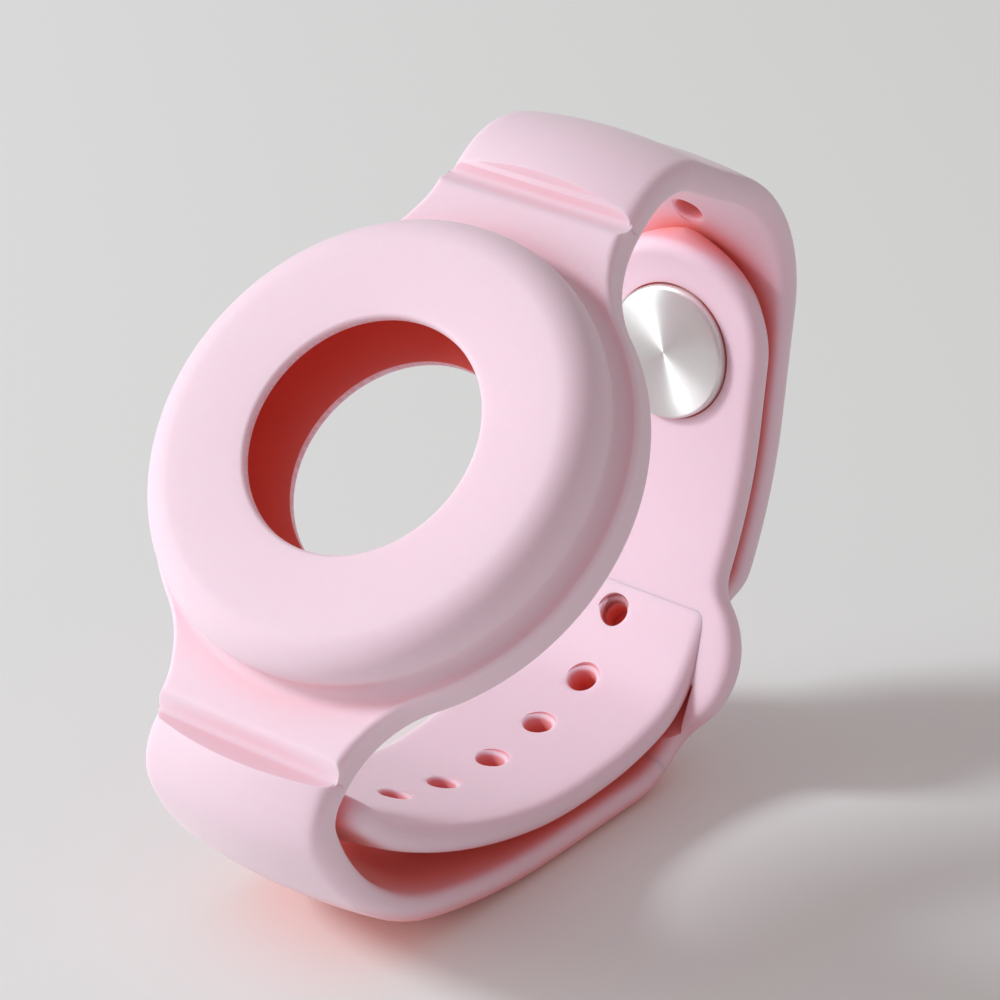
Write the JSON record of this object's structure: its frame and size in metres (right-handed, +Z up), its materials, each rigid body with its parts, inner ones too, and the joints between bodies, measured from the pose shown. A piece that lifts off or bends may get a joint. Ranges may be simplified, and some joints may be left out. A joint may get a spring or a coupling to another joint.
{
  "type": "tracker tag wristband holder",
  "caption": "Soft wristband with a round open-windowed pocket that holds a coin-shaped tracker tag, closed by a metal stud in a hole row and a slotted keeper.",
  "frame": {"origin": "middle of the bounding box on the table that the closed band stands on", "axes": "+X across the band's width, +Z up from the table, the window faces up and towards -Y"},
  "size_m": [0.0416, 0.065, 0.0584],
  "materials": {
    "silicone": "matte",
    "stud_metal": "turned"
  },
  "bodies": {
    "band": {"holder_base": "silicone", "pocket_wall": "silicone", "front_lip": "silicone", "pin_strap": "silicone", "keeper": "silicone", "hole_strap": "silicone", "strap_tail": "silicone"},
    "flap": {"pin_flap": "silicone"},
    "tail": {"tail_tip": "silicone"},
    "stud": {"stud_disc": "stud_metal", "stud_head": "stud_metal"}
  },
  "joints": [
    {"name": "flap_flex", "type": "hinge", "parent": "band", "child": "flap", "pos_m": [0, 0.02092, 0.01825], "axis": [1, 0, 0], "range_deg": [0, 30], "stiffness_Nm_per_rad": 0.02},
    {"name": "tail_flex", "type": "hinge", "parent": "band", "child": "tail", "pos_m": [0, -0.01503, 0.011], "axis": [-1, 0, 0], "range_deg": [0, 25], "stiffness_Nm_per_rad": 0.01},
    {"name": "stud_spin", "type": "hinge", "parent": "flap", "child": "stud", "pos_m": [0, 0.02507, 0.03496], "axis": [0, 0.9954, -0.0958], "continuous": true}
  ]
}
